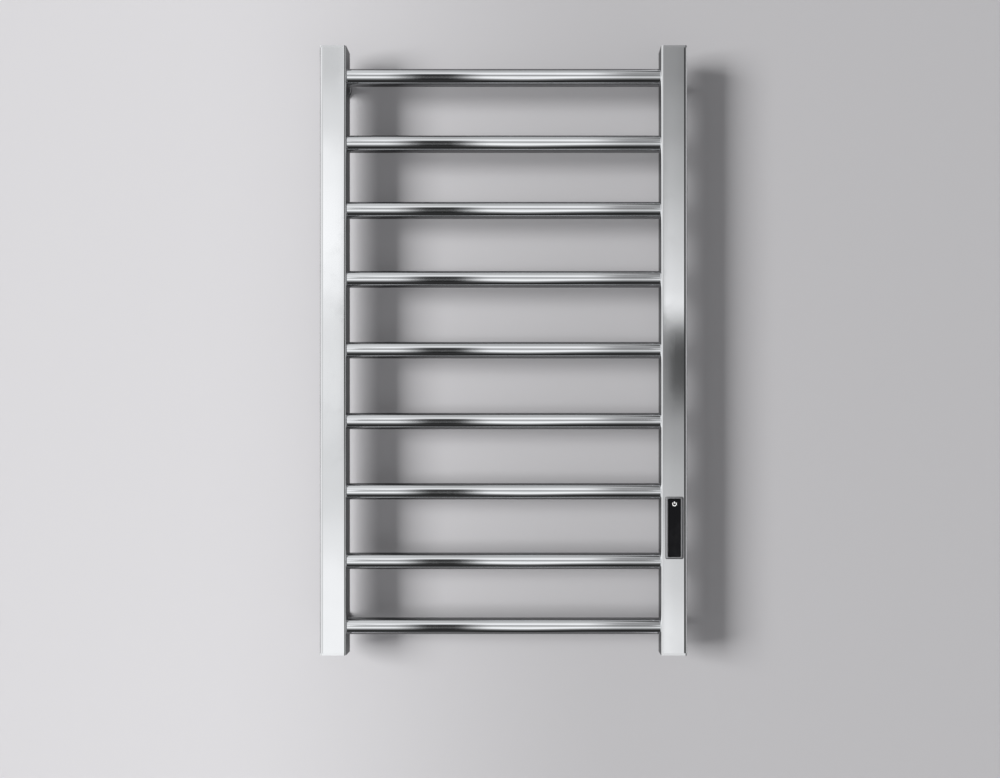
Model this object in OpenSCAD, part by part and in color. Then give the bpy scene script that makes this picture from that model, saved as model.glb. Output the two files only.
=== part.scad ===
// Wall-hung electric towel warmer rack: two box-section uprights, nine round rungs,
// a touch panel low on the right upright and four telescoping wall brackets.
// Units are millimetres. +Z is up, +X is to the right seen from the room, and the wall is the
// plane y = 0, so the rack stands out towards -Y. The origin is the centre of the four wall screws.

/* [Rack] */
// Overall height of the rack over its end caps
rack_height = 920; // [916:930]
// Overall width over both uprights
rack_width = 555; // [540:580]
// Gap between the wall and the backs of the uprights with the brackets pushed home
wall_gap = 32; // [31.5:34]

/* [Uprights] */
// Width of each upright across its front face
upright_width = 40; // [40:42]
// Depth of each upright from front face to back face
upright_depth = 30; // [29.8:31]
// Wall thickness of the upright tube
upright_wall = 1.5; // [1.2:1.8]
// Outer radius of the long edges of the upright tube
upright_corner = 3.2; // [3:3.4]
// Visible thickness of each end cap
cap_thickness = 3.5; // [3:5]
// Depth of the cap's plug inside the tube
cap_plug = 11; // [8:14]

/* [Rungs] */
// Outside diameter of each rung
rung_diameter = 25; // [24:25]
// Wall thickness of the rung tube
rung_wall = 1.2; // [1:1.4]
// How far each rung end stands inside the upright, past its inner wall
rung_stand_in = 2.4; // [1.5:3]
// Radial clearance of a rung in the upright's hole
rung_play = 0.05; // [0.03:0.1]

/* [Heating cable] */
// Diameter of the silicone heating cable
cable_diameter = 5; // [4.8:5.2]
// Bend radius of the cable at its centre line
cable_bend = 10; // [10:10.5]
// How far the cable lies behind the rung axes
cable_offset = 5; // [4.8:5.2]
// Thickness of the silicone spacers that carry the cable in the rungs
spacer_thickness = 6; // [4:8]
// Distance of the spacers from the middle of each rung
spacer_reach = 150; // [120:190]

/* [Touch panel] */
// Width of the panel bezel
bezel_width = 27; // [26:28]
// Height of the panel bezel
bezel_height = 93; // [92.4:94]
// How far the bezel stands proud of the upright
bezel_proud = 1; // [0.8:1.4]
// Width of the black glass
glass_width = 19.5; // [19:20]
// Height of the black glass
glass_height = 88; // [87.5:88.4]
// Thickness of the black glass
glass_thickness = 1.6; // [1.4:1.8]
// Height of the panel's centre above the rack's centre, downwards is negative
panel_z = -267.5; // [-270:-264]
// Depth of the control module's housing
housing_depth = 11.7; // [11.4:11.9]

/* [Wall brackets] */
// Height of the upper brackets above the rack's centre, and of the lower ones below it
bracket_z = 418; // [416:420]
// Outside diameter of the bracket posts
post_diameter = 20; // [20:22]
// Diameter of the spigot that each post slides on
spigot_diameter = 14; // [13.8:14]
// Radial running clearance between post and spigot
spigot_play = 0.08; // [0.05:0.1]
// Diameter of the wall flange of each foot
foot_diameter = 30; // [28:34]
// Thickness of the wall flange of each foot
foot_flange = 4; // [3.5:4.2]
// Diameter of the wall screw hole in each foot
screw_hole = 5.2; // [5:5.5]

/* [Hidden] */
$fn = 64;

upright_x = (rack_width - upright_width) / 2;
inner_face_x = upright_x - upright_width / 2;
back_y = -wall_gap;
front_y = -wall_gap - upright_depth;
axis_y = -wall_gap - upright_depth / 2;
cable_y = axis_y + cable_offset;
tube_length = rack_height - 2 * cap_thickness;
rung_radius = rung_diameter / 2;
rung_half = inner_face_x + upright_wall + rung_stand_in;
rung_z = [417, 316, 215, 110, 2, -106, -213, -319, -418];
cable_radius = cable_diameter / 2;
cable_turn_x = inner_face_x + 9.5;
cable_straight_x = cable_turn_x - cable_bend;
cable_end_z = rung_z[0] - 45;
cable_start_z = rung_z[8] + 46;
cut_width = 24;
cut_height = 90;
inside_front_y = front_y + upright_wall;
inside_back_y = back_y - upright_wall;
housing_front_y = inside_front_y + 2;
housing_back_y = housing_front_y + housing_depth;
board_y = housing_back_y - 2.8;
glass_front_y = front_y - bezel_proud + 0.15;
glass_back_y = glass_front_y + glass_thickness;
gasket_thickness = 0.5;
touch_front_y = glass_back_y + gasket_thickness;
touch_back_y = touch_front_y + 1;
pad_thickness = 1;
post_front_y = back_y + pad_thickness;
post_floor_y = post_front_y + 4.5;
post_back_y = -foot_flange - 1.2;
spigot_front_y = -foot_flange - 17.5;
grommet_z = -384;
block_x = upright_x + 4;
block_z = -363;
cutout_x = upright_x + 9.5;

// A rectangle with round corners, centred on its own origin
module round_rect(w, h, r) {
    square([w - 2 * r, h], center = true);
    square([w, h - 2 * r], center = true);
    for (i = [-1, 1]) for (j = [-1, 1])
        translate([i * (w / 2 - r), j * (h / 2 - r)]) circle(r);
}

// A round-cornered block that runs along Z from z0, seen from above w by h
module post_z(w, h, r, z0, len) {
    translate([0, 0, z0]) linear_extrude(len) round_rect(w, h, r);
}

// A round-cornered slab facing the room, w wide and h high, from y0 back to y0 + len
module slab_y(w, h, r, y0, len) {
    translate([0, y0 + len, 0]) rotate([90, 0, 0]) linear_extrude(len) round_rect(w, h, r);
}

// A cylinder along +Y that starts at y0
module rod_y(r, y0, len) {
    translate([0, y0, 0]) rotate([-90, 0, 0]) cylinder(r = r, h = len);
}

// A cylinder along +X that starts at x0
module rod_x(r, x0, len) {
    translate([x0, 0, 0]) rotate([0, 90, 0]) cylinder(r = r, h = len);
}

// A plain box from one corner to the other
module box(a, b) {
    translate(a) cube(b - a);
}

// A list of points with its corners cut, which rounds the bends of a wire
function cut_corners(p) = [p[0],
    for (i = [0 : len(p) - 2]) each [p[i] * 0.75 + p[i + 1] * 0.25, p[i] * 0.25 + p[i + 1] * 0.75],
    p[len(p) - 1]];

// The direction of travel at point i of a route
function heading(p, i) = let (d = p[min(i + 1, len(p) - 1)] - p[max(i - 1, 0)]) d / norm(d);

// A wire of radius r through a list of points, with rounded bends
module wire(points, r) {
    p = cut_corners(cut_corners(points));
    n = 8;
    rings = [for (i = [0 : len(p) - 1])
        let (t = heading(p, i), c = cross(t, [0, 1, 0]), u = c / norm(c), v = cross(t, u))
        for (k = [0 : n - 1]) p[i] + r * (cos(k * 360 / n) * u + sin(k * 360 / n) * v)];
    sides = [for (i = [0 : len(p) - 2]) for (k = [0 : n - 1])
        [i * n + k, (i + 1) * n + k, (i + 1) * n + (k + 1) % n, i * n + (k + 1) % n]];
    last = (len(p) - 1) * n;
    ends = [[for (k = [0 : n - 1]) k], [for (k = [n - 1 : -1 : 0]) last + k]];
    polyhedron(points = rings, faces = concat(sides, ends), convexity = 4);
}

// Places something at the centre line of one upright, side -1 left and +1 right
module at_upright(side) {
    translate([side * upright_x, 0, 0]) children();
}

// Places something at one wall bracket
module at_bracket(side, level) {
    translate([side * upright_x, 0, level * bracket_z]) children();
}

module at_every_bracket() {
    for (side = [-1, 1]) for (level = [-1, 1]) at_bracket(side, level) children();
}

module at_panel() {
    translate([upright_x, 0, panel_z]) children();
}

// ---- Wall feet: fixed to the wall, everything else slides on their spigots ----

module wall_foot(side, level) {
    color("silver") at_bracket(side, level) difference() {
        union() {
            rotate([90, 0, 0]) rotate_extrude() union() {
                square([foot_diameter / 2 - 1, foot_flange]);
                square([foot_diameter / 2, foot_flange - 1]);
                translate([foot_diameter / 2 - 1, foot_flange - 1]) circle(1);
            }
            rod_y(spigot_diameter / 2, spigot_front_y + 0.8, -spigot_front_y - 1.8);
            translate([0, spigot_front_y + 0.8, 0]) rotate([90, 0, 0])
                cylinder(r1 = spigot_diameter / 2, r2 = spigot_diameter / 2 - 0.8, h = 0.8);
        }
        rod_y(screw_hole / 2, spigot_front_y - 1, -spigot_front_y + 2);
        rod_y(5, spigot_front_y - 1, 8);
    }
}

// ---- Uprights and end caps ----

module upright_tube(side) {
    at_upright(side) difference() {
        post_z(upright_width, upright_depth, upright_corner, -tube_length / 2, tube_length);
        post_z(upright_width - 2 * upright_wall, upright_depth - 2 * upright_wall,
            upright_corner - upright_wall, -tube_length / 2 - 1, tube_length + 2);
    }
}

module upright_holes(side) {
    for (z = rung_z) translate([0, axis_y, z])
        rod_x(rung_radius + rung_play, side * inner_face_x - 3, 6);
    for (level = [-1, 1]) at_bracket(side, level)
        rod_y(4.6, inside_back_y - 2, upright_wall + 4);
}

module left_upright() {
    color("lightsteelblue") difference() {
        translate([0, axis_y, 0]) upright_tube(-1);
        upright_holes(-1);
    }
}

module right_upright() {
    color("lightsteelblue") difference() {
        translate([0, axis_y, 0]) upright_tube(1);
        upright_holes(1);
        at_panel() slab_y(cut_width, cut_height, 2.5, front_y - 2, upright_wall + 4);
        translate([upright_x, 0, grommet_z]) rod_y(6, inside_back_y - 2, upright_wall + 4);
    }
}

module end_cap(side, level) {
    plug_w = upright_width - 2 * upright_wall - 0.2;
    plug_d = upright_depth - 2 * upright_wall - 0.2;
    color("gainsboro") translate([side * upright_x, axis_y, 0])
        rotate([level > 0 ? 0 : 180, 0, 0]) difference() {
            union() {
                post_z(upright_width - 0.6, upright_depth - 0.6, upright_corner - 0.3,
                    rack_height / 2 - 0.3, 0.3);
                post_z(upright_width, upright_depth, upright_corner, tube_length / 2,
                    cap_thickness - 0.3);
                post_z(plug_w, plug_d, upright_corner - upright_wall, tube_length / 2 - cap_plug,
                    cap_plug + 1);
            }
            post_z(plug_w - 4, plug_d - 4, 1, tube_length / 2 - cap_plug - 1, cap_plug + 1);
        }
}

module left_top_cap() { end_cap(-1, 1); }
module left_bottom_cap() { end_cap(-1, -1); }
module right_top_cap() { end_cap(1, 1); }
module right_bottom_cap() { end_cap(1, -1); }

// ---- Rungs ----

module rung(index) {
    color("white") translate([0, axis_y, rung_z[index - 1]]) difference() {
        rod_x(rung_radius, -rung_half, 2 * rung_half);
        rod_x(rung_radius - rung_wall, -rung_half - 1, 2 * rung_half + 2);
    }
}

// ---- Wall bracket posts and their fasteners ----

module bracket_post(side, level) {
    color("silver") at_bracket(side, level) difference() {
        rod_y(post_diameter / 2, post_front_y, post_back_y - post_front_y);
        rod_y(3.3, post_front_y - 1, 8);
        rod_y(spigot_diameter / 2 + spigot_play, post_floor_y, 40);
        translate([0, post_back_y - 4.3, -post_diameter / 2 - 1]) cylinder(r = 2.05, h = 6);
    }
}

module bracket_pads() {
    color("dimgray") at_every_bracket() difference() {
        rod_y(post_diameter / 2, back_y, pad_thickness);
        rod_y(6.6, back_y - 1, pad_thickness + 2);
    }
}

module post_bolts() {
    color("gray") at_every_bracket() difference() {
        union() {
            rod_y(5.25, post_floor_y, 2.2);
            translate([0, post_floor_y + 2.2, 0]) rotate([-90, 0, 0])
                cylinder(r1 = 5.25, r2 = 3.8, h = 1.1);
            rod_y(3, back_y - 10.5, 10.5 + pad_thickness + 4.6);
        }
        rotate([-90, 0, 0]) translate([0, 0, post_floor_y + 1.2]) cylinder(r = 2.3, h = 4, $fn = 6);
    }
}

module rivet_nuts() {
    color("goldenrod") at_every_bracket() difference() {
        union() {
            rod_y(6.5, back_y + 0.02, pad_thickness - 0.04);
            rod_y(4.5, back_y - 12.5, 13);
            rod_y(5.7, inside_back_y - 3.6, 3.58);
        }
        rod_y(3.05, back_y - 14, 18);
    }
}

module grub_screws() {
    inner_r = spigot_diameter / 2 + 0.38;
    color("black") at_every_bracket() translate([0, post_back_y - 4.3, -post_diameter / 2])
        difference() {
            cylinder(r = 2, h = post_diameter / 2 - inner_r);
            translate([0, 0, -1]) cylinder(r = 1.15, h = 2.4, $fn = 6);
        }
}

// ---- Heating cable: one run that snakes through all nine rungs ----

// Straight stretch inside rung k, counted from 0
module cable_in_rung(k) {
    translate([0, cable_y, rung_z[k]]) rod_x(cable_radius, -cable_straight_x, 2 * cable_straight_x);
}

// Quarter bend at one end of rung k: side -1 left or +1 right, turn +1 up or -1 down
module cable_bend_at(k, side, turn) {
    translate([side * cable_straight_x, cable_y, rung_z[k] + turn * cable_bend])
        rotate([90, 0, 0])
        rotate([0, 0, side > 0 ? (turn > 0 ? 270 : 0) : (turn > 0 ? 180 : 90)])
        rotate_extrude(angle = 90) translate([cable_bend, 0]) circle(cable_radius, $fn = 32);
}

// Upright stretch on one side between two heights
module cable_rise(side, z0, z1) {
    translate([side * cable_turn_x, cable_y, z0]) cylinder(r = cable_radius, h = z1 - z0);
}

module heating_cable() {
    color("tomato") {
        for (k = [0 : 8]) cable_in_rung(k);
        for (k = [0 : 7]) {
            side = k % 2 == 0 ? 1 : -1;
            cable_bend_at(k, side, -1);
            cable_rise(side, rung_z[k + 1] + cable_bend, rung_z[k] - cable_bend);
            cable_bend_at(k + 1, side, 1);
        }
        cable_bend_at(0, -1, -1);
        cable_rise(-1, cable_end_z, rung_z[0] - cable_bend);
        cable_bend_at(8, 1, 1);
        cable_rise(1, rung_z[8] + cable_bend, cable_start_z);
    }
}

module cable_end_seal() {
    color("dimgray") translate([-cable_turn_x, cable_y, cable_end_z - 10]) difference() {
        cylinder(r = 3.6, h = 22);
        translate([0, 0, 10]) cylinder(r = cable_radius + 0.05, h = 20);
    }
}

module cable_splice() {
    color("dimgray") translate([cable_turn_x, cable_y, cable_start_z - 8]) difference() {
        cylinder(r = 4, h = 30);
        translate([0, 0, -1]) cylinder(r = cable_radius + 0.05, h = 9);
    }
}

module cable_spacers() {
    color("white") for (z = rung_z) for (side = [-1, 1])
        translate([side * spacer_reach, 0, z]) difference() {
            translate([0, axis_y, 0])
                rod_x(rung_radius - rung_wall - 0.1, -spacer_thickness / 2, spacer_thickness);
            translate([0, cable_y, 0]) rod_x(cable_radius + 0.05, -20, 40);
            translate([0, axis_y - 5.5, 0]) rod_x(3.5, -20, 40);
        }
}

// ---- Wiring inside the right upright ----

module heater_leads() {
    splice_top = cable_start_z + 22;
    housing_bottom = panel_z - 44.7;
    color("red") {
        wire([[cable_turn_x - 1.6, cable_y, splice_top],
            [cable_turn_x - 1.6, cable_y, splice_top + 4],
            [upright_x - 4, housing_back_y - 5, housing_bottom - 8],
            [upright_x - 4, housing_back_y - 5, housing_bottom + 3]], 1.1);
        wire([[cable_turn_x + 1.8, cable_y, splice_top],
            [cable_turn_x + 1.8, cable_y, splice_top + 2.6],
            [upright_x + 2, cable_y + 1, splice_top - 1],
            [cutout_x, cable_y, splice_top - 2.6],
            [cutout_x, cable_y, splice_top]], 1.1);
        wire([[cutout_x, cable_y, splice_top + 20],
            [cutout_x, cable_y, splice_top + 22],
            [upright_x + 1, housing_back_y - 5, housing_bottom - 6],
            [upright_x + 1, housing_back_y - 5, housing_bottom + 3]], 1.1);
    }
}

module thermal_cutout() {
    splice_top = cable_start_z + 22;
    color("peru") translate([cutout_x, cable_y, splice_top]) {
        cylinder(r = 2.6, h = 20);
        translate([0, 0, 3]) cylinder(r = 3.1, h = 14);
    }
}

module temperature_sensor() {
    color("orange") translate([inner_face_x + upright_wall + 2.5, axis_y - 4, panel_z + 76]) {
        cylinder(r = 2.4, h = 14);
        translate([0, 0, 14]) sphere(2.4);
    }
}

module sensor_leads() {
    x = inner_face_x + upright_wall + 2.5;
    y = axis_y - 4;
    top = panel_z + 76;
    housing_top = panel_z + 44.7;
    color("black") for (i = [-1, 1])
        wire([[x + i * 1.1, y, top], [x + i * 1.1, y, top - 4],
            [upright_x - 6 + i * 1.1, housing_front_y + 3, housing_top + 8],
            [upright_x - 6 + i * 1.1, housing_front_y + 3, housing_top - 3]], 0.7);
}

module terminal_block() {
    color("ivory") difference() {
        box([block_x - 9, axis_y - 6, block_z - 8], [block_x + 9, axis_y + 5, block_z + 8]);
        for (i = [-1, 0, 1]) translate([block_x + i * 5.6, axis_y, block_z])
            for (j = [-1, 1]) translate([0, 0, j * 8]) {
                translate([0, 0, -5]) cylinder(r = 1.9, h = 10);
                translate([0, -12, -j * 4]) rod_y(1.9, 0, 10);
            }
    }
}

module terminal_screws() {
    color("gold") for (i = [-1, 0, 1]) for (j = [-1, 1])
        translate([block_x + i * 5.6, 0, block_z + j * 4]) difference() {
            rod_y(1.75, axis_y - 5, 2.9);
            box([-2, axis_y - 5.5, -0.3], [2, axis_y - 4.2, 0.3]);
        }
}

module supply_leads() {
    housing_bottom = panel_z - 44.7;
    color("saddlebrown") for (i = [0, 1])
        wire([[block_x + i * 5.6, axis_y, block_z + 6],
            [block_x + i * 5.6, axis_y, block_z + 14],
            [upright_x + 5 + i * 3.4, housing_front_y + 3.5, housing_bottom - 8],
            [upright_x + 5 + i * 3.4, housing_front_y + 3.5, housing_bottom + 3]], 1.1);
}

module earth_stud() {
    wall_x = upright_x + upright_width / 2 - upright_wall;
    color("gold") translate([0, axis_y, block_z - 34]) {
        difference() {
            union() {
                rod_x(2, wall_x - 11, 10.98);
                rod_x(3.6, wall_x - 2.6, 0.8);
                translate([wall_x - 6, 0, 0]) rotate([0, 90, 0]) cylinder(r = 4, h = 3.2, $fn = 6);
            }
            rod_x(0.6, wall_x - 12, 1.5);
        }
        difference() {
            union() {
                rod_x(3.8, wall_x - 1.7, 0.7);
                box([wall_x - 1.7, -1.6, 0], [wall_x - 1, 1.6, 8]);
            }
            rod_x(2.1, wall_x - 3, 3);
        }
    }
}

module earth_lead() {
    wall_x = upright_x + upright_width / 2 - upright_wall;
    z = block_z - 34;
    color("limegreen")
        wire([[wall_x - 1.4, axis_y, z + 8.1], [wall_x - 1.8, axis_y, z + 12],
            [block_x + 5.6, axis_y, block_z - 13], [block_x + 5.6, axis_y, block_z - 6]], 1.1);
}

module supply_grommet() {
    color("dimgray") translate([upright_x, 0, grommet_z]) difference() {
        union() {
            rod_y(5.95, inside_back_y - 0.5, upright_wall + 1);
            rod_y(7.6, back_y + 0.02, 1.5);
            rod_y(7.2, inside_back_y - 1.52, 1.5);
        }
        rod_y(3.6, inside_back_y - 4, 12);
    }
}

module rating_label() {
    color("whitesmoke") translate([upright_x, 0, -330]) slab_y(26, 48, 1.5, back_y + 0.02, 0.2);
}

// ---- Control module ----

module panel_bezel() {
    color("gainsboro") at_panel() difference() {
        union() {
            slab_y(bezel_width - 0.5, bezel_height - 0.5, 2.25, front_y - bezel_proud, 0.25);
            slab_y(bezel_width, bezel_height, 2.5, front_y - bezel_proud + 0.25,
                bezel_proud - 0.27);
            slab_y(cut_width - 0.3, cut_height - 0.3, 2.3, front_y - 0.3,
                housing_front_y - front_y + 0.28);
        }
        slab_y(glass_width + 0.2, glass_height + 0.2, 1.6, front_y - bezel_proud - 1, 12);
    }
}

module panel_glass() {
    color("black") at_panel()
        slab_y(glass_width, glass_height, 1.5, glass_front_y, glass_thickness);
}

module panel_gasket() {
    color("dimgray") at_panel() difference() {
        slab_y(glass_width - 0.1, glass_height - 0.1, 1.4, glass_back_y, gasket_thickness);
        slab_y(glass_width - 3.5, glass_height - 4, 1, glass_back_y - 1, 3);
    }
}

module touch_board() {
    color("darkgreen") at_panel() union() {
        slab_y(glass_width - 0.3, glass_height - 0.4, 1.2, touch_front_y, 1);
        for (k = [-2 : 2]) translate([0, 0, k * 15 - 3])
            slab_y(9, 9, 2, touch_front_y - 0.1, 0.2);
    }
}

module status_leds() {
    color("aqua") at_panel() for (k = [-2 : 2])
        translate([0, 0, k * 15 + 4.5]) slab_y(2.4, 1.2, 0.2, touch_front_y - 0.45, 0.43);
}

module control_housing() {
    color("slategray") at_panel() difference() {
        union() {
            difference() {
                slab_y(cut_width - 0.6, cut_height - 0.6, 2.1, housing_front_y, housing_depth);
                slab_y(cut_width - 3, cut_height - 3, 1.2, housing_front_y - 1,
                    housing_depth - 0.2);
            }
            for (level = [-1, 1]) translate([level * 6, 0, level * 39])
                rod_y(2.4, board_y + 1.22, 1.2);
        }
        for (level = [-1, 1]) translate([level * 6, 0, level * 39]) rod_y(1.23, board_y, 4);
        for (i = [0, 1]) translate([-4 + i * 5, housing_back_y - 5, -50]) cylinder(r = 1.3, h = 8);
        for (i = [0, 1]) translate([5 + i * 3.4, housing_front_y + 3.5, -50])
            cylinder(r = 1.3, h = 8);
        for (i = [-1, 1]) translate([-6 + i * 1.1, housing_front_y + 3, 42])
            cylinder(r = 0.8, h = 8);
    }
}

module housing_clips() {
    color("silver") at_panel() for (level = [-1, 1]) {
        z0 = cut_height / 2 - 0.15;
        translate([0, 0, level * z0]) {
            box([-3.6, inside_front_y + 0.3, level > 0 ? 0 : -0.5],
                [3.6, inside_front_y + 7.2, level > 0 ? 0.5 : 0]);
            box([-3, inside_front_y + 0.3, level > 0 ? 0.4 : -2.6],
                [3, inside_front_y + 1.1, level > 0 ? 2.6 : -0.4]);
        }
    }
}

module power_board() {
    color("green") at_panel() difference() {
        slab_y(cut_width - 3.6, cut_height - 4, 0.8, board_y, 1.2);
        for (level = [-1, 1]) translate([level * 6, 0, level * 39]) rod_y(1.3, board_y - 2, 6);
    }
}

module board_screws() {
    color("gold") at_panel() for (level = [-1, 1]) translate([level * 6, 0, level * 39])
        difference() {
            union() {
                rod_y(2.2, board_y - 1.4, 1.38);
                rod_y(1.2, board_y - 0.5, 3);
            }
            box([-0.3, board_y - 2, -3], [0.3, board_y - 0.8, 3]);
            box([-3, board_y - 2, -0.3], [3, board_y - 0.8, 0.3]);
        }
}

module board_header() {
    color("black") at_panel() translate([-5, 0, 10]) {
        box([-1.25, touch_back_y, -6.35], [1.25, touch_back_y + 2.5, 6.35]);
        box([-1.25, board_y - 2.5, -6.35], [1.25, board_y, 6.35]);
        for (k = [-2 : 2]) translate([0, 0, k * 2.54])
            box([-0.3, touch_back_y + 2, -0.3], [0.3, board_y - 2, 0.3]);
    }
}

module power_relay() {
    color("royalblue") at_panel()
        box([-7, board_y - 7, -12], [3, board_y, 2]);
}

module transformer() {
    color("khaki") at_panel() translate([0, 0, -22]) union() {
        box([-6.5, board_y - 1.6, -6.5], [6.5, board_y, 6.5]);
        box([-5, board_y - 6.4, -6.5], [5, board_y - 1.5, 6.5]);
        box([-6.5, board_y - 5.4, -4.2], [6.5, board_y - 2.4, 4.2]);
    }
}

module capacitors() {
    color("midnightblue") at_panel() {
        for (i = [-1, 1]) translate([i * 4.6, board_y - 3.25, -35])
            translate([0, 0, -1.4]) cylinder(r = 3.15, h = 7.4);
        box([4.5, board_y - 6.5, -11], [9, board_y, 1]);
    }
}

module fuse() {
    color("lightgray") at_panel() translate([5, board_y - 2.4, 8]) {
        cylinder(r = 1.8, h = 12);
        translate([0, 0, -0.6]) cylinder(r = 2.1, h = 3);
        translate([0, 0, 9.6]) cylinder(r = 2.1, h = 3);
        box([-1, 0.5, -0.6], [1, 2.4, 1.4]);
        box([-1, 0.5, 10.6], [1, 2.4, 12.6]);
    }
}

module wireless_module() {
    color("silver") at_panel() translate([0, 0, 28]) union() {
        box([-7, touch_back_y, -10], [7, touch_back_y + 0.8, 10]);
        box([-6, touch_back_y + 0.7, -8], [6, touch_back_y + 2.6, 4]);
    }
}

module buzzer() {
    color("black") at_panel() translate([0, 0, -12]) difference() {
        rod_y(4.5, touch_back_y, 2.4);
        rod_y(0.8, touch_back_y + 1.4, 3);
    }
}

wall_foot(-1, 1);  // wall_foot_top_left
wall_foot(1, 1);  // wall_foot_top_right
wall_foot(-1, -1);  // wall_foot_bottom_left
wall_foot(1, -1);  // wall_foot_bottom_right
left_upright();
right_upright();
left_top_cap();
left_bottom_cap();
right_top_cap();
right_bottom_cap();
rung(1);  // rung_1
rung(2);  // rung_2
rung(3);  // rung_3
rung(4);  // rung_4
rung(5);  // rung_5
rung(6);  // rung_6
rung(7);  // rung_7
rung(8);  // rung_8
rung(9);  // rung_9
bracket_post(-1, 1);  // bracket_post_top_left
bracket_post(1, 1);  // bracket_post_top_right
bracket_post(-1, -1);  // bracket_post_bottom_left
bracket_post(1, -1);  // bracket_post_bottom_right
bracket_pads();
post_bolts();
rivet_nuts();
grub_screws();
heating_cable();
cable_end_seal();
cable_splice();
cable_spacers();
heater_leads();
thermal_cutout();
temperature_sensor();
sensor_leads();
panel_bezel();
panel_glass();
panel_gasket();
touch_board();
status_leds();
control_housing();
housing_clips();
power_board();
board_header();
power_relay();
transformer();
capacitors();
fuse();
wireless_module();
buzzer();
board_screws();
terminal_block();
terminal_screws();
supply_leads();
earth_stud();
earth_lead();
supply_grommet();
rating_label();
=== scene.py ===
"""Looks for the wall-hung towel warmer: studio, camera, procedural materials and fine pieces.

Everything is in metres in the CAD frame: the wall is the plane y = 0, the room is at -Y, +Z is up.
"""

import math

import bmesh
import bpy
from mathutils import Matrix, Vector


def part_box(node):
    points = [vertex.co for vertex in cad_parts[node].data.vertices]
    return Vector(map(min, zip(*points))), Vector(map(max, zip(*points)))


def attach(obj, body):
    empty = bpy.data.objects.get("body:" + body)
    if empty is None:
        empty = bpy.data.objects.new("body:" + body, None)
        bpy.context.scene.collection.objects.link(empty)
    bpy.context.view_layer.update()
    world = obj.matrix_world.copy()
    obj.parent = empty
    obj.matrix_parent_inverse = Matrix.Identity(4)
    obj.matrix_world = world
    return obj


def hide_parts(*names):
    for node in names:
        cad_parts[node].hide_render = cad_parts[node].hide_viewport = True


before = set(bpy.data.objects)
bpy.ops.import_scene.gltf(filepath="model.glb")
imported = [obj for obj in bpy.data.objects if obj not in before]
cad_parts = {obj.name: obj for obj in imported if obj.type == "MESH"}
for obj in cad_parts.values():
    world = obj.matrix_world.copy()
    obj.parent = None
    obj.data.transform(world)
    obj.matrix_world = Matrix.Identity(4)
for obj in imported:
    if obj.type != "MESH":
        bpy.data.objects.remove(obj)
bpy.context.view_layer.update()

MM = 0.001

CAMERA_PLACE = (0.0504, -1.347, -0.1577)
CAMERA_LENS = 30.7
CAMERA_SHIFT = (-0.037, 0.066)      # shares of the picture's width

UPRIGHT_CENTRE = 0.2575             # an upright's centre line, to each side of x = 0
FACE_BOW = 0.08                     # fall of an upright's bowed face over its distance out, squared
ROLL_START = 0.0143                 # where an upright's outer edge begins to roll, from its centre line
EDGE_ROLL = 66.0                    # fall of the rolled edge over the distance past that, squared

BEZEL_PROUD = 1.0 * MM              # how far the bezel stands off the upright's face
BEZEL_CORNER = 2.5 * MM
GLASS_CORNER = 1.5 * MM
SUNK = 0.02 * MM                    # how far a fine piece is sunk into what it stands on


# ---- Camera: level, straight at the wall, as the photograph was taken ----

def make_camera():
    data = bpy.data.cameras.new("camera")
    data.sensor_width = 36.0
    data.lens = CAMERA_LENS
    data.shift_x, data.shift_y = CAMERA_SHIFT
    data.clip_start, data.clip_end = 0.05, 60.0
    camera = bpy.data.objects.new("camera", data)
    camera.location = CAMERA_PLACE
    camera.rotation_euler = (math.radians(90), 0, 0)
    bpy.context.scene.collection.objects.link(camera)
    bpy.context.scene.camera = camera


# ---- A small kit for node trees ----

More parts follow.
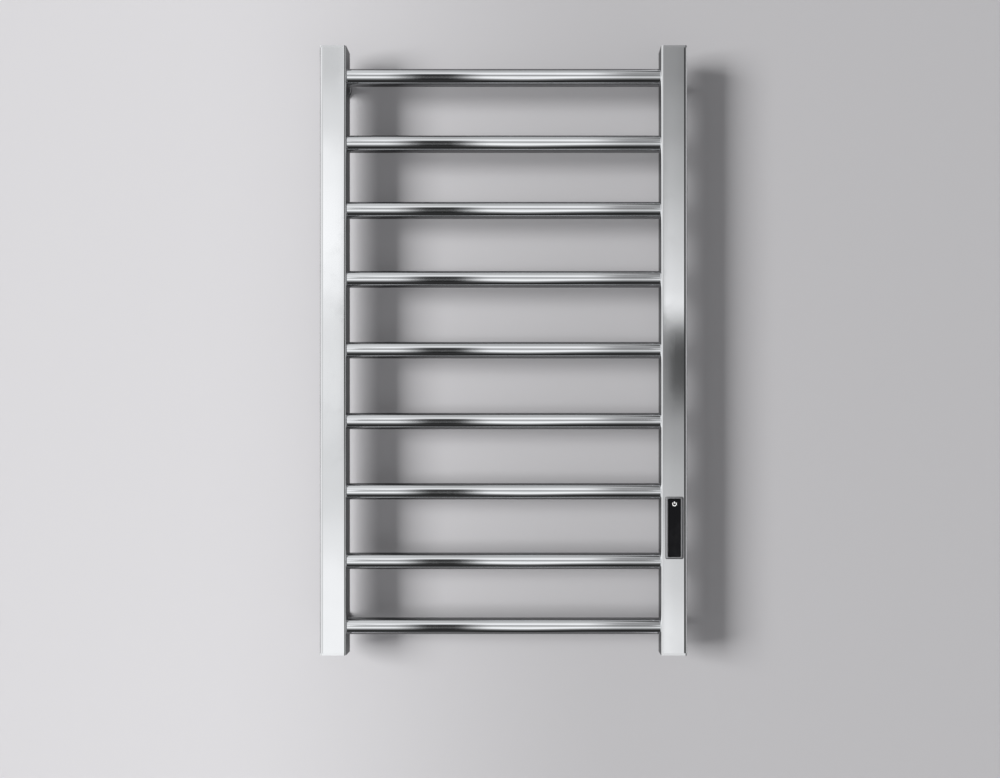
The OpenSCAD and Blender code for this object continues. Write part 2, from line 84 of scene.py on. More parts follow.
class Tree:
    """Shorthand for building one node tree. Each value is a socket or a plain number."""

    def __init__(self, tree):
        self.tree = tree
        tree.nodes.clear()

    def add(self, kind, inputs=None, **settings):
        node = self.tree.nodes.new(kind)
        for name, value in settings.items():
            setattr(node, name, value)
        for name, value in (inputs or {}).items():
            self.put(node.inputs[name], value)
        return node

    def put(self, socket, value):
        if isinstance(value, bpy.types.NodeSocket):
            self.tree.links.new(value, socket)
        else:
            socket.default_value = value

    def math(self, operation, *values):
        node = self.tree.nodes.new("ShaderNodeMath")
        node.operation = operation
        for socket, value in zip(node.inputs, values):
            self.put(socket, value)
        return node.outputs[0]

    def times(self, a, b):
        return self.math("MULTIPLY", a, b)

    def plus(self, a, b):
        return self.math("ADD", a, b)

    def span(self, value, low, high, to_low=0.0, to_high=1.0, smooth=True):
        kind = "SMOOTHSTEP" if smooth else "LINEAR"
        node = self.add("ShaderNodeMapRange", {0: value, 1: low, 2: high, 3: to_low, 4: to_high},
                        interpolation_type=kind, clamp=True)
        return node.outputs[0]

    def window(self, value, low, high, soft):
        """1 between low and high, 0 outside, with soft edges."""
        up = self.span(value, low - soft, low + soft)
        down = self.span(value, high - soft, high + soft, 1.0, 0.0)
        return self.times(up, down)

    def ramp(self, value, stops, interpolation="EASE"):
        """stops is [(place, grey or colour)]."""
        node = self.add("ShaderNodeValToRGB", {0: value})
        ramp = node.color_ramp
        ramp.interpolation = interpolation
        while len(ramp.elements) < len(stops):
            ramp.elements.new(0.5)
        for element, (place, colour) in zip(ramp.elements, stops):
            element.position = place
            element.color = colour if isinstance(colour, tuple) else (colour, colour, colour, 1)
        return node.outputs[0]

    def place(self, scale=(1, 1, 1)):
        """The piece's own coordinates in metres, stretched by scale."""
        own = self.add("ShaderNodeTexCoord").outputs["Object"]
        return self.add("ShaderNodeMapping", {"Vector": own, "Scale": scale}).outputs[0]

    def noise(self, vector, scale, detail=3.0, roughness=0.5):
        node = self.add("ShaderNodeTexNoise", {"Vector": vector, "Scale": scale, "Detail": detail,
                                               "Roughness": roughness})
        return node.outputs[0]

    def mix_colour(self, factor, a, b):
        node = self.tree.nodes.new("ShaderNodeMix")
        node.data_type = "RGBA"
        self.put(node.inputs["Factor"], factor)
        for socket, value in ((node.inputs[6], a), (node.inputs[7], b)):
            self.put(socket, value)
        return node.outputs[2]


def new_material(name):
    material = bpy.data.materials.new(name)
    material.use_nodes = True
    tree = Tree(material.node_tree)
    shader = tree.add("ShaderNodeBsdfPrincipled")
    out = tree.add("ShaderNodeOutputMaterial")
    tree.tree.links.new(shader.outputs[0], out.inputs["Surface"])
    return material, tree, shader


def grey(level):
    return (level, level, level, 1)


# ---- Materials ----

def chrome(name, along, base, rough, grain=0.0, crown=None):
    """Polished chrome plate. along is the axis of the polishing marks. crown is the centre x of a face
    that looks slightly bowed, with its outer edge rolled before the corner; both are bump only."""
    material, t, shader = new_material(name)
    shader.inputs["Metallic"].default_value = 1.0
    stretch = {"x": (6, 900, 900), "z": (900, 900, 6), "y": (900, 6, 900)}[along]
    marks = t.noise(t.place(stretch), 1.0, 2.0)
    handled = t.noise(t.place(), 28.0, 4.0, 0.6)
    cloudy = t.span(t.noise(t.place(), 9.0, 2.0), 0.35, 0.7)
    low, high = [tuple(c * k for c in base) + (1,) for k in (0.955, 1.0)]
    t.put(shader.inputs["Base Color"], t.mix_colour(cloudy, high, low))
    rough_smear = t.span(handled, 0.5, 0.72, 0.0, rough * 0.55)
    rough_marks = t.times(marks, rough * 0.5)
    t.put(shader.inputs["Roughness"], t.plus(t.plus(rough_smear, rough_marks), rough * 0.75))
    ripple = t.noise(t.place(), 70.0, 1.0)
    height = t.plus(t.times(marks, grain * 1e-6), t.times(ripple, 1.2e-6))
    if crown is not None:
        x = t.add("ShaderNodeSeparateXYZ", {0: t.place()}).outputs[0]
        off = t.math("SUBTRACT", t.math("ABSOLUTE", x), crown)
        rolled = t.math("MAXIMUM", t.math("SUBTRACT", off, ROLL_START), 0.0)
        height = t.plus(height, t.times(t.times(off, off), -FACE_BOW))
        height = t.plus(height, t.times(t.times(rolled, rolled), -EDGE_ROLL))
    bump = t.add("ShaderNodeBump", {"Strength": 1.0, "Distance": 1.0, "Height": height})
    t.put(shader.inputs["Normal"], bump.outputs[0])
    return material


def metal(name, colour, rough, grain_scale, spot=0.08):
    """Plated or turned metal with fine grain and slight mottling."""
    material, t, shader = new_material(name)
    shader.inputs["Metallic"].default_value = 1.0
    mottle = t.noise(t.place(), 180.0, 4.0, 0.6)
    dark = tuple(c * (1 - spot * 3) for c in colour) + (1,)
    t.put(shader.inputs["Base Color"], t.mix_colour(t.span(mottle, 0.3, 0.75), colour + (1,), dark))
    fine = t.noise(t.place((grain_scale, 200, grain_scale)), 1.0, 2.0)
    t.put(shader.inputs["Roughness"], t.span(fine, 0.2, 0.8, rough * 0.75, rough * 1.3))
    bump = t.add("ShaderNodeBump", {"Strength": 0.5, "Distance": 1e-5, "Height": fine})
    t.put(shader.inputs["Normal"], bump.outputs[0])
    return material


def plastic(name, colour, rough, texture=900.0, depth=2e-5, variation=0.12, coat=0.0, sheen=0.0):
    """Moulded plastic, rubber, silicone or lacquer with a fine moulded texture."""
    material, t, shader = new_material(name)
    drift = t.noise(t.place(), 45.0, 3.0, 0.55)
    pale = tuple(min(1.0, c * (1 + variation) + 0.004) for c in colour) + (1,)
    deep = tuple(c * (1 - variation) for c in colour) + (1,)
    t.put(shader.inputs["Base Color"], t.mix_colour(t.span(drift, 0.3, 0.7), deep, pale))
    fine = t.noise(t.place(), texture, 2.0, 0.6)
    t.put(shader.inputs["Roughness"], t.span(fine, 0.25, 0.75, rough * 0.85, min(1.0, rough * 1.15)))
    bump = t.add("ShaderNodeBump", {"Strength": 0.4, "Distance": depth, "Height": fine})
    t.put(shader.inputs["Normal"], bump.outputs[0])
    shader.inputs["Coat Weight"].default_value = coat
    shader.inputs["Sheen Weight"].default_value = sheen
    return material


def black_glass():
    material, t, shader = new_material("black_glass")
    smear = t.noise(t.place((1, 1, 0.6)), 55.0, 4.0, 0.6)
    t.put(shader.inputs["Base Color"],
          t.mix_colour(t.span(smear, 0.45, 0.8), (0.006, 0.006, 0.007, 1), (0.012, 0.012, 0.013, 1)))
    t.put(shader.inputs["Roughness"], t.span(smear, 0.45, 0.75, 0.06, 0.16))
    shader.inputs["IOR"].default_value = 1.5
    shader.inputs["Specular IOR Level"].default_value = 0.07
    return material


def circuit_board():
    """Solder mask over copper tracks, drawn as a fine orthogonal pattern."""
    material, t, shader = new_material("circuit_board")
    place = t.place()
    tracks = t.add("ShaderNodeTexBrick", {"Vector": place, "Color1": grey(0.0), "Color2": grey(0.35),
                                          "Mortar": grey(1.0), "Scale": 260.0, "Mortar Size": 0.03})
    t.put(shader.inputs["Base Color"],
          t.mix_colour(tracks.outputs[0], (0.012, 0.11, 0.04, 1), (0.04, 0.26, 0.11, 1)))
    t.put(shader.inputs["Roughness"], t.span(t.noise(place, 600.0), 0.3, 0.7, 0.28, 0.42))
    bump = t.add("ShaderNodeBump", {"Strength": 0.4, "Distance": 3e-5, "Height": tracks.outputs[0]})
    t.put(shader.inputs["Normal"], bump.outputs[0])
    return material


def foil_label():
    """Blank aluminium rating label: a printed border and two ruled fields, no lettering."""
    material, t, shader = new_material("label_foil")
    low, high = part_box("rating_label")
    x0, z0 = (low[0] + high[0]) / 2, (low[2] + high[2]) / 2
    split = t.add("ShaderNodeSeparateXYZ", {0: t.place()})
    x = t.math("ABSOLUTE", t.math("SUBTRACT", split.outputs[0], x0))
    z = t.math("SUBTRACT", split.outputs[2], z0)
    frame_x = t.window(x, 0.0112, 0.0117, 0.0001)
    frame_z = t.window(t.math("ABSOLUTE", z), 0.0222, 0.0227, 0.0001)
    inside = t.times(t.span(x, 0.0116, 0.0118, 1, 0),
                     t.span(t.math("ABSOLUTE", z), 0.0226, 0.0228, 1, 0))
    rule = t.plus(t.window(z, 0.0078, 0.0081, 0.0001), t.window(z, -0.0091, -0.0088, 0.0001))
    ink = t.times(t.math("MINIMUM", t.plus(t.plus(frame_x, frame_z), rule), 1.0), inside)
    brushed = t.noise(t.place((900, 900, 20)), 1.0, 2.0)
    plain = t.mix_colour(t.span(brushed, 0.3, 0.7), grey(0.60), grey(0.72))
    t.put(shader.inputs["Base Color"], t.mix_colour(ink, plain, grey(0.03)))
    t.put(shader.inputs["Roughness"], t.span(brushed, 0.2, 0.8, 0.3, 0.48))
    shader.inputs["Metallic"].default_value = 0.6
    return material


def printed_mark():
    material, t, shader = new_material("mark_print_painted_glow")
    speck = t.noise(t.place(), 2500.0, 2.0)
    colour = t.mix_colour(t.span(speck, 0.3, 0.7), grey(0.72), grey(0.88))
    t.put(shader.inputs["Base Color"], colour)
    # painted glow: the printed ink emits a little of its own colour, so the mark reads brighter than the
    # lamps make it
    t.put(shader.inputs["Emission Color"], colour)
    shader.inputs["Emission Strength"].default_value = 0.35
    t.put(shader.inputs["Roughness"], t.span(speck, 0.2, 0.8, 0.35, 0.55))
    return material


rung_chrome = chrome("polished_steel_rungs", "x", (0.80, 0.81, 0.82), 0.045, grain=0.6)
upright_chrome = chrome("polished_steel_uprights", "z", (0.83, 0.835, 0.84), 0.06, grain=0.45,
                        crown=UPRIGHT_CENTRE)
cap_chrome = chrome("polished_steel_caps", "x", (0.82, 0.825, 0.83), 0.12, grain=1.0)
bracket_chrome = chrome("bracket_steel", "y", (0.74, 0.75, 0.76), 0.11, grain=1.2)
bezel_chrome = chrome("bezel_chrome", "z", (0.50, 0.50, 0.51), 0.3, grain=2.0)
glass = black_glass()
rubber = plastic("black_rubber", (0.022, 0.022, 0.023), 0.7, 1400, 4e-5, sheen=0.2)
zinc = metal("zinc_steel", (0.62, 0.63, 0.64), 0.32, 900)
dark_steel = metal("dark_steel", (0.09, 0.09, 0.1), 0.38, 1200)
brass = metal("brass", (0.72, 0.53, 0.24), 0.28, 1100)
board = circuit_board()
label = foil_label()

FINISHES = {
    rung_chrome: [f"rung_{k}" for k in range(1, 10)],
    upright_chrome: ["left_upright", "right_upright"],
    cap_chrome: ["left_top_cap", "left_bottom_cap", "right_top_cap", "right_bottom_cap"],
    bracket_chrome: [f"{piece}_{level}_{side}" for piece in ("wall_foot", "bracket_post")
                     for level in ("top", "bottom") for side in ("left", "right")],
    bezel_chrome: ["panel_bezel"],
    glass: ["panel_glass"],
    rubber: ["bracket_pads", "panel_gasket", "supply_grommet", "cable_splice", "cable_end_seal"],
    zinc: ["post_bolts", "rivet_nuts", "housing_clips", "wireless_module"],
    dark_steel: ["grub_screws"],
    brass: ["board_screws", "terminal_screws", "earth_stud"],
    board: ["touch_board", "power_board"],
    label: ["rating_label"],
    plastic("red_silicone", (0.45, 0.04, 0.03), 0.45, 1600, 2e-5, sheen=0.1): ["heating_cable"],
    plastic("white_silicone", (0.78, 0.78, 0.75), 0.55, 1300): ["cable_spacers", "heater_leads"],
    plastic("white_ceramic", (0.84, 0.83, 0.79), 0.25, 1900, 1e-5, 0.04, coat=0.3): ["thermal_cutout"],
    plastic("sensor_epoxy", (0.02, 0.02, 0.022), 0.3, 1500): ["temperature_sensor"],
    plastic("black_lead", (0.02, 0.02, 0.02), 0.4, 1800): ["sensor_leads"],
    plastic("brown_lead", (0.18, 0.07, 0.03), 0.4, 1800): ["supply_leads"],
    plastic("green_lead", (0.1, 0.4, 0.06), 0.4, 1800): ["earth_lead"],
    plastic("led_lens", (0.85, 0.9, 0.95), 0.2, 2000, 1e-5, 0.03, coat=0.4): ["status_leds"],
    plastic("grey_plastic", (0.2, 0.21, 0.22), 0.55, 1100): ["control_housing"],
    plastic("black_plastic", (0.02, 0.02, 0.02), 0.4, 1200): ["board_header", "power_relay", "buzzer"],
    plastic("transformer_tape", (0.72, 0.56, 0.12), 0.35, 700): ["transformer"],
    plastic("capacitor_sleeve", (0.03, 0.04, 0.12), 0.25, 1500, 1e-5, coat=0.3): ["capacitors"],
    plastic("fuse_ceramic", (0.8, 0.79, 0.76), 0.22, 1700, 1e-5, 0.04, coat=0.3): ["fuse"],
    plastic("ivory_plastic", (0.76, 0.72, 0.6), 0.5, 1000): ["terminal_block"],
}


def dress(node, material):
    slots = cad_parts[node].material_slots
    for slot in slots:
        slot.link = "OBJECT"
        slot.material = material
    if not slots:
        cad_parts[node].data.materials.append(material)


def dress_frame():
    dressed = set()
    for material, nodes in FINISHES.items():
        for node in nodes:
            dress(node, material)
            dressed.add(node)
    missing = set(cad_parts) - dressed
    if missing:
        raise RuntimeError(f"no finish for {sorted(missing)}")


# ---- Fine pieces made in mesh code ----

def new_piece(name, bm, material, body, smooth=True):
    mesh = bpy.data.meshes.new(name)
    bmesh.ops.recalc_face_normals(bm, faces=bm.faces)
    bm.to_mesh(mesh)
    bm.free()
    piece = bpy.data.objects.new(name, mesh)
    bpy.context.scene.collection.objects.link(piece)
    mesh.materials.append(material)
    if smooth:
        mesh.shade_smooth()
    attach(piece, body)
    return piece


def ring_of_points(bm, points):
    return [bm.verts.new(p) for p in points]


def skin(bm, rings, closed_ends=False):
    """Quads between successive closed rings of equal length."""
    for a, b in zip(rings, rings[1:]):
        n = len(a)
        for i in range(n):
            bm.faces.new((a[i], a[(i + 1) % n], b[(i + 1) % n], b[i]))
    if closed_ends:
        bm.faces.new(rings[0])
        bm.faces.new(rings[-1])


def round_rectangle(width, height, radius, steps=10):
    """Outline points (x, z), counter-clockwise."""
    points = []
    for sx, sz, start in ((1, 1, 0), (-1, 1, 90), (-1, -1, 180), (1, -1, 270)):
        cx, cz = sx * (width / 2 - radius), sz * (height / 2 - radius)
        for k in range(steps + 1):
            a = math.radians(start + 90 * k / steps)
            points.append((cx + radius * math.cos(a), cz + radius * math.sin(a)))
    return points


def joint_fillets():
    """The small brazed fillet where each rung meets an upright."""
    bm = bmesh.new()
    size, arc_steps, around = 0.9 * MM, 5, 72
    for k in range(1, 10):
        low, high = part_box(f"rung_{k}")
        centre_y, centre_z = (low[1] + high[1]) / 2, (low[2] + high[2]) / 2
        radius = (high[2] - low[2]) / 2
        for node, face in (("left_upright", 1), ("right_upright", 0)):
            x_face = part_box(node)[face][0]
            away = 1 if face else -1
            rings = []
            for j in range(arc_steps + 1):
                a = math.radians(90 * j / arc_steps)
                out = size * (1 - math.sin(a))
                reach = size * (1 - math.cos(a))
                r = radius + out - SUNK
                x = x_face + away * (reach - SUNK)
                rings.append(ring_of_points(bm, [
                    (x, centre_y + r * math.cos(2 * math.pi * i / around),
                     centre_z + r * math.sin(2 * math.pi * i / around)) for i in range(around)]))
            skin(bm, rings)
    return new_piece("joint_fillets", bm, rung_chrome, "rack")


def panel_cover():
    """The touch glass with ground edges, standing for its plain CAD slab."""
    low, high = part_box("panel_glass")
    cx, cz = (low[0] + high[0]) / 2, (low[2] + high[2]) / 2
    width, height = high[0] - low[0], high[2] - low[2]
    bm = bmesh.new()
    rings = []
    edge = 0.45 * MM
    for inset, y in ((0.0, high[1]), (0.0, low[1] + edge), (0.07 * MM, low[1] + 0.2 * MM),
                     (0.2 * MM, low[1] + 0.07 * MM), (edge, low[1])):
        outline = round_rectangle(width - 2 * inset, height - 2 * inset, GLASS_CORNER - inset * 0.8)
        rings.append(ring_of_points(bm, [(cx + x, y, cz + z) for x, z in outline]))
    skin(bm, rings, closed_ends=True)
    piece = new_piece("touch_glass", bm, glass, "rack", smooth=False)
    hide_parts("panel_glass")
    return piece


def panel_frame():
    """The bezel with its pillowed rim and window lip, standing for its plain CAD ring."""
    low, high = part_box("panel_bezel")
    glass_low, glass_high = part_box("panel_glass")
    cx, cz = (low[0] + high[0]) / 2, (low[2] + high[2]) / 2
    width, height = high[0] - low[0], high[2] - low[2]
    side = (width - (glass_high[0] - glass_low[0])) / 2 - 0.05 * MM
    end = (height - (glass_high[2] - glass_low[2])) / 2 - 0.05 * MM
    front, face = low[1], low[1] + BEZEL_PROUD
    # each point is its share of the rim's width inward, and its y
    profile = ((0.0, face - SUNK), (0.0, face - 0.3 * MM), (0.05, face - 0.52 * MM),
               (0.16, front + 0.27 * MM), (0.34, front + 0.12 * MM), (0.58, front + 0.03 * MM),
               (0.82, front), (0.94, front + 0.03 * MM), (0.99, front + 0.12 * MM),
               (1.0, front + 0.5 * MM), (1.0, face + 1.5 * MM), (0.8, face + 1.5 * MM),
               (0.55, face - SUNK))
    bm = bmesh.new()
    rings = []
    for inward, y in profile:
        outline = round_rectangle(width - 2 * side * inward, height - 2 * end * inward,
                                  BEZEL_CORNER - 0.9 * inward * MM)
        rings.append(ring_of_points(bm, [(cx + x, y, cz + z) for x, z in outline]))
    skin(bm, rings + rings[:1])
    piece = new_piece("bezel_frame", bm, bezel_chrome, "rack")
    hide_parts("panel_bezel")
    return piece


def panel_seal_and_shade_line():
    """The thin black rubber lip that shows all round the bezel, standing partly for the seal and partly
    for the shade in the joint.
    """
    low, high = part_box("panel_bezel")
    cx, cz = (low[0] + high[0]) / 2, (low[2] + high[2]) / 2
    width, height = high[0] - low[0], high[2] - low[2]
    face = low[1] + BEZEL_PROUD
    bm = bmesh.new()
    rings = []
    for out, y in ((0.5, face - 0.01 * MM), (0.5, face - 0.15 * MM), (0.38, face - 0.28 * MM),
                   (0.2, face - 0.33 * MM), (0.01, face - 0.33 * MM), (0.01, face - 0.01 * MM)):
        outline = round_rectangle(width + 2 * out * MM, height + 2 * out * MM,
                                  BEZEL_CORNER + out * MM)
        rings.append(ring_of_points(bm, [(cx + x, y, cz + z) for x, z in outline]))
    skin(bm, rings + rings[:1])
    return new_piece("panel_seal_and_shade_line", bm, rubber, "rack")


def panel_mark():
    """A generic standby sign, an open ring with a bar, printed near the top of the glass."""
    low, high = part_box("panel_glass")
    cx, top, y = (low[0] + high[0]) / 2, high[2], low[1] - 0.03 * MM
    cz = top - 8.0 * MM
    bm = bmesh.new()
    outer, inner = 3.3 * MM, 2.25 * MM
    gap = 38        # degrees left open on each side of the bar
    steps = 40
    back, front = y + 0.02 * MM, y
    for k in range(steps):
        quad = []
        for step, r in ((k, inner), (k, outer), (k + 1, outer), (k + 1, inner)):
            a = math.radians(90 + gap + (360 - 2 * gap) * step / steps)
            quad.append(bm.verts.new((cx + r * math.cos(a), front, cz + r * math.sin(a))))
        bm.faces.new(quad)
    w, z0, z1 = 0.55 * MM, cz + 0.6 * MM, cz + 3.9 * MM
    bar = [bm.verts.new((cx + dx, front, z)) for dx, z in ((-w, z0), (w, z0), (w, z1), (-w, z1))]
    bm.faces.new(bar)
    bmesh.ops.remove_doubles(bm, verts=bm.verts, dist=1e-7)
    made = bmesh.ops.extrude_face_region(bm, geom=list(bm.faces))
    moved = [v for v in made["geom"] if isinstance(v, bmesh.types.BMVert)]
    bmesh.ops.translate(bm, verts=moved, vec=(0, back - front, 0))
    return new_piece("panel_mark", bm, printed_mark(), "rack", smooth=False)


# ---- Studio ----

FLOOR_Z = -1.4
BACKDROP = (0.68, 0.68, 0.69, 1)
ROOM_FILL = 0.245           # the world's light on matt surfaces

KEY_PLACE = (-15.0, -9.7, 0.68)
KEY_SIZE = (6.2, 8.8)
KEY_POWER = 4690
# The wall paint carries painted shade worked out from these, which holds down the key light's bright
# patch.
KEY_LEVEL = 5347.0          # the key's light on the wall, times the cube of its distance
KEY_ON_PAINT = 0.57         # the share of it that the paint gives back
FILL_ON_PAINT = 0.147       # the brightness that the fill alone gives the paint
BRIGHTEST_PAINT = 0.72      # the paint is toned down where it would be brighter than this


def stage_plane(name, corners, material):
    mesh = bpy.data.meshes.new(name)
    mesh.from_pydata(corners, [], [(0, 1, 2, 3)])
    mesh.materials.append(material)
    plane = bpy.data.objects.new(name, mesh)
    bpy.context.scene.collection.objects.link(plane)
    return plane


def stipple(t, shader):
    grain = t.noise(t.place(), 380.0, 2.0)
    bump = t.add("ShaderNodeBump", {"Strength": 0.08, "Distance": 2e-4, "Height": grain})
    t.put(shader.inputs["Normal"], bump.outputs[0])
    shader.inputs["Roughness"].default_value = 0.9
    shader.inputs["Specular IOR Level"].default_value = 0.15


def output_of(t):
    return next(n for n in t.tree.nodes if n.type == "OUTPUT_MATERIAL").inputs["Surface"]


def wall_paint():
    """Matt paint with painted shade: darkened near the key light and graded darker to the right, in place
    of the light's fall-off. In reflections it has more painted shade, most of all behind the rack, and it
    is clear from behind."""
    material, t, shader = new_material("wall_paint")
    colour = (0.60, 0.595, 0.615)
    x = t.add("ShaderNodeSeparateXYZ", {0: t.place()}).outputs[0]
    across = t.math("SUBTRACT", x, KEY_PLACE[0])
    square = t.plus(t.times(across, across), KEY_PLACE[1] ** 2)
    key = t.math("DIVIDE", KEY_LEVEL, t.math("POWER", square, 1.5))
    lit = t.plus(t.times(key, KEY_ON_PAINT), FILL_ON_PAINT)
    # painted shade: the paint is darkened where the key light would make it brighter than BRIGHTEST_PAINT
    painted_key_shade = t.math("MINIMUM", t.math("DIVIDE", BRIGHTEST_PAINT, lit), 1.0)
    # more painted shade: graded darker to the right, in place of the key light's fall-off
    factor = t.times(painted_key_shade, t.span(x, -0.46, 0.2, 1.0, 0.75))
    broad = t.noise(t.place(), 0.8, 2.0)
    plain = t.mix_colour(broad, tuple(c * 0.985 for c in colour) + (1,), colour + (1,))
    paint_with_painted_shade = t.add("ShaderNodeVectorMath", {0: plain, "Scale": factor}, operation="SCALE").outputs[0]
    t.put(shader.inputs["Base Color"], paint_with_painted_shade)
    stipple(t, shader)
    # painted shade in reflections: glossy rays see the paint dimmed to 0.85, and to 0.22 behind the rack,
    # in place of the rack's shadow and the shade in the gap
    shade_behind_rack = t.window(x, -0.275, 0.255, 0.012)
    reflection_shade = t.span(shade_behind_rack, 0.0, 1.0, 0.85, 0.22)
    paint_with_reflection_shade = t.add("ShaderNodeVectorMath", {0: plain, "Scale": reflection_shade}, operation="SCALE").outputs[0]
    reflected = t.add("ShaderNodeBsdfDiffuse", {"Color": paint_with_reflection_shade})
    rays = t.add("ShaderNodeLightPath")
    front = t.add("ShaderNodeMixShader", {0: rays.outputs["Is Glossy Ray"], 1: shader.outputs[0],
                                          2: reflected.outputs[0]})
    seen_from_behind = t.math("MAXIMUM", t.add("ShaderNodeNewGeometry").outputs["Backfacing"],
                              t.math("GREATER_THAN", rays.outputs["Transparent Depth"], 0.5))
    clear = t.add("ShaderNodeBsdfTransparent")
    mix = t.add("ShaderNodeMixShader", {0: seen_from_behind, 1: front.outputs[0],
                                        2: clear.outputs[0]})
    t.tree.links.new(mix.outputs[0], output_of(t))
    return material


def floor_paint():
    """Pale matt floor that glows a little, because the key light doesn't reach it, and melts into the
    backdrop far from the rack."""
    material, t, shader = new_material("floor_paint")
    away = t.add("ShaderNodeVectorMath", {0: t.place((1, 1, 0))}, operation="LENGTH").outputs["Value"]
    far = t.span(away, 1.0, 5.5)
    t.put(shader.inputs["Base Color"], t.mix_colour(far, (0.66, 0.655, 0.65, 1), grey(0.0)))
    t.put(shader.inputs["Emission Color"], t.mix_colour(far, grey(0.36), BACKDROP))
    shader.inputs["Emission Strength"].default_value = 1.0
    stipple(t, shader)
    return material


def make_stage():
    far, up = 7.0, 5.0
    wall_y = 0.3 * MM
    stage_plane("wall", [(-far, wall_y, FLOOR_Z), (far, wall_y, FLOOR_Z), (far, wall_y, up),
                         (-far, wall_y, up)], wall_paint())
    floor = stage_plane("floor", [(-far, -far, FLOOR_Z), (far, -far, FLOOR_Z),
                                  (far, far, FLOOR_Z), (-far, far, FLOOR_Z)], floor_paint())
    floor.visible_glossy = False
    floor.visible_shadow = False
    return floor


def area_light(name, place, target, size, power, colour):
    data = bpy.data.lights.new(name, "AREA")
    data.shape = "RECTANGLE"
    data.size, data.size_y = size
    data.energy = power
    data.color = colour
    light = bpy.data.objects.new(name, data)
    light.location = place
    light.rotation_euler = (Vector(target) - Vector(place)).to_track_quat("-Z", "Y").to_euler()
    light.visible_camera = False
    light.visible_glossy = False
    bpy.context.scene.collection.objects.link(light)
    return light


# Grey levels that the chrome reflects, by angle in degrees: round numbers, set until the
# rungs and the uprights' faces had the photograph's greys.
RUNG_BANDS = ((-90, 0.16), (-80, 0.06), (-65, 0.015), (-52, 0.05), (-41, 0.17), (-29, 0.50),
              (-19, 1.08), (-12, 1.16), (-5, 0.88), (2, 0.48), (9, 0.34), (14, 0.50),
              (23, 0.92), (33, 1.14), (45, 0.84), (58, 0.57), (70, 0.48), (84, 0.54), (90, 0.50))
LEFT_BANDS = ((-24, 1.0), (-11.3, 1.08), (-8, 1.06), (-5, 0.92), (-3, 0.83), (-1.3, 0.82),
              (3.7, 0.91), (8, 0.93), (10, 0.99), (11, 1.11), (14, 1.16), (18.5, 1.08),
              (21, 0.86), (24, 0.68), (34, 0.5))
RIGHT_BANDS = ((-22, 0.95), (-11.3, 1.03), (-8, 0.85), (-3, 0.65), (-1.3, 0.60), (1, 0.48),
               (3.7, 0.35), (5, 0.31), (6.7, 0.24), (8, 0.34), (9, 0.86), (10, 1.18),
               (11, 0.98), (14, 0.80), (18.5, 0.56), (21, 0.44), (24, 0.34), (34, 0.26))


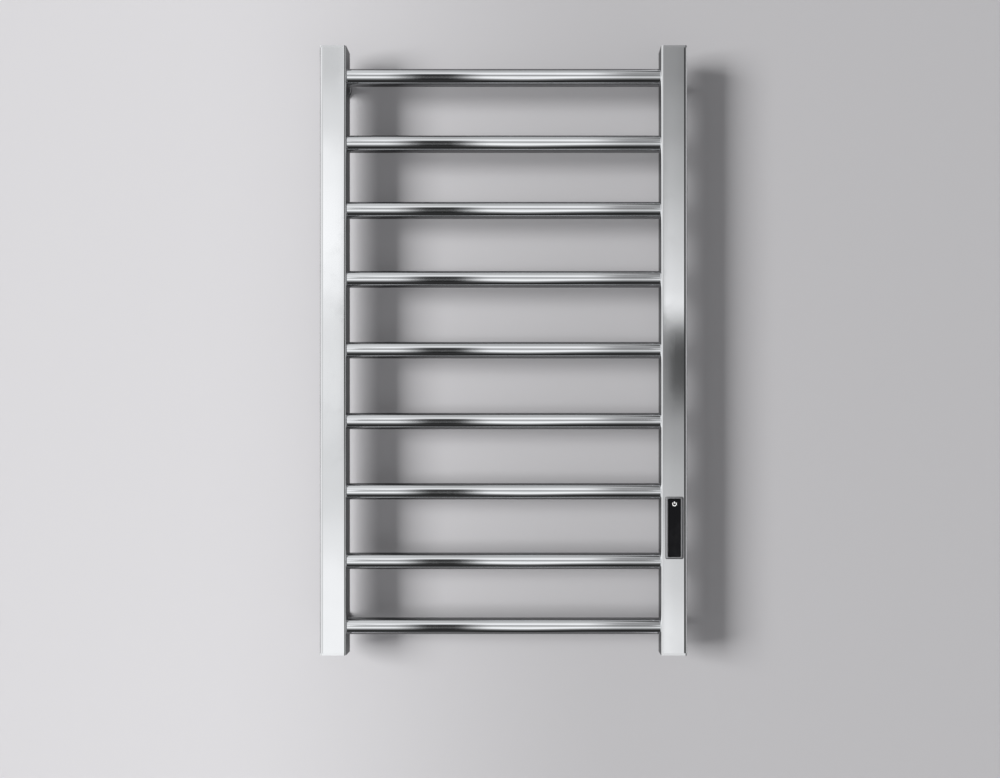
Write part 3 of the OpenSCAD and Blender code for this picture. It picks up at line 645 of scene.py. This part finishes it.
def reflected_room(t, direction):
    """Grey level of the room that the chrome reflects, in each direction."""
    split = t.add("ShaderNodeSeparateXYZ", {0: direction})
    dx, dy, dz = split.outputs
    degrees = 180 / math.pi
    elevation = t.times(t.math("ARCSINE", dz), degrees)
    azimuth = t.times(t.math("ARCTAN2", dx, t.times(dy, -1.0)), degrees)
    # A rung keeps a ray's angle out of the YZ plane, aside, and turns its height round the rung, lean.
    aside = t.times(t.math("ARCSINE", dx), degrees)
    flat = t.math("SQRT", t.math("MAXIMUM", t.math("SUBTRACT", 1.0, t.times(dx, dx)), 1e-4))
    lean = t.times(t.math("ARCSINE", t.math("DIVIDE", dz, flat)), degrees)
    uneven = t.add("ShaderNodeMapping", {"Vector": direction, "Scale": (5, 1, 1.5)}).outputs[0]
    wobble = t.span(t.noise(uneven, 1.0, 1.0), 0.2, 0.8, -1.5, 1.5, smooth=False)
    sag = t.times(t.window(aside, -3.2, 1.4, 2.6), t.span(lean, -4, -22, 0.0, 12.0))
    bent = t.plus(t.plus(lean, sag), wobble)

    def bands(angle, stops):
        """Grey level by an angle in degrees."""
        low, high = stops[0][0], stops[-1][0]
        colour = t.ramp(t.span(angle, low, high, smooth=False),
                        [((place - low) / (high - low), grey_level) for place, grey_level in stops])
        return t.add("ShaderNodeSeparateColor", {0: colour}).outputs[0]

    def scaled(level, side, side_soft, height, height_soft, factor):
        """Level times factor inside a window of the rungs' own two angles."""
        inside = t.times(t.window(aside, *side, side_soft), t.window(lean, *height, height_soft))
        return t.times(level, t.span(inside, 0, 1, 1.0, factor, smooth=False))

    def changed(level, az, az_soft, el, el_soft, other):
        """Level turned into other inside a window of azimuth and elevation."""
        inside = t.times(t.window(azimuth, *az, az_soft), t.window(elevation, *el, el_soft))
        return t.plus(level, t.times(inside, t.math("SUBTRACT", other, level)))

    level = bands(bent, RUNG_BANDS)
    level = scaled(level, (-8.3, -4.2), 1.3, (-50, 31), 9, 0.09)    # a doorway
    level = scaled(level, (4.4, 9.5), 1.4, (14, 52), 6, 0.36)       # a shelf
    level = scaled(level, (4.6, 9.5), 1.6, (-64, 12), 6, 0.64)      # what stands under it
    # the lit wall on the left, and a dark cupboard on the right with its shaded edge and its shadow
    level = changed(level, (-19, -12.2), 0.3, (-20, 30), 4, bands(elevation, LEFT_BANDS))
    level = changed(level, (7.95, 17), 0.25, (-18, 30), 4, bands(elevation, RIGHT_BANDS))
    level = scaled(level, (8.65, 17), 0.5, (-22, 34), 3, 0.86)
    level = scaled(level, (8.65, 17), 0.4, (3.6, 8.3), 1.4, 0.38)
    # the rest of the room: near left, far left, near right, far right
    level = changed(level, (-56, -19), 2.0, (-28, 72), 6, 0.75)
    level = changed(level, (-104, -58), 2.0, (-50, 50), 6, 1.15)
    level = changed(level, (15, 65), 1.5, (-76, 76), 6, 0.04)
    return changed(level, (68, 104), 2.0, (-50, 50), 6, 0.52)


def make_world():
    """Uniform fill for matt surfaces, a room of soft bands for reflections, plain pale for the camera."""
    world = bpy.data.worlds.new("studio")
    world.use_nodes = True
    bpy.context.scene.world = world
    t = Tree(world.node_tree)
    level = reflected_room(t, t.add("ShaderNodeTexCoord").outputs["Generated"])
    tint = t.add("ShaderNodeCombineColor", {0: t.times(level, 0.99), 1: level,
                                            2: t.times(level, 1.015)})
    rays = t.add("ShaderNodeLightPath")
    glossy = t.mix_colour(rays.outputs["Is Glossy Ray"], grey(ROOM_FILL), tint.outputs[0])
    seen = t.mix_colour(rays.outputs["Is Camera Ray"], glossy, BACKDROP)
    back = t.add("ShaderNodeBackground", {"Color": seen, "Strength": 1.0})
    out = t.add("ShaderNodeOutputWorld")
    t.tree.links.new(back.outputs[0], out.inputs[0])
    world.cycles.sampling_method = "NONE"


def make_lights(floor):
    """One large soft light from the left, which leaves the floor alone."""
    key = area_light("key", KEY_PLACE, (0, 0, 0), KEY_SIZE, KEY_POWER, (1.0, 0.995, 0.985))
    unlit = bpy.data.collections.new("unlit_by_key")
    unlit.objects.link(floor)
    key.light_linking.receiver_collection = unlit
    unlit.collection_objects[0].light_linking.link_state = "EXCLUDE"


bpy.context.scene.view_settings.view_transform = "Standard"
bpy.context.scene.view_settings.look = "None"
make_camera()
dress_frame()
joint_fillets()
panel_cover()
panel_frame()
panel_seal_and_shade_line()
panel_mark()
make_world()
make_lights(make_stage())
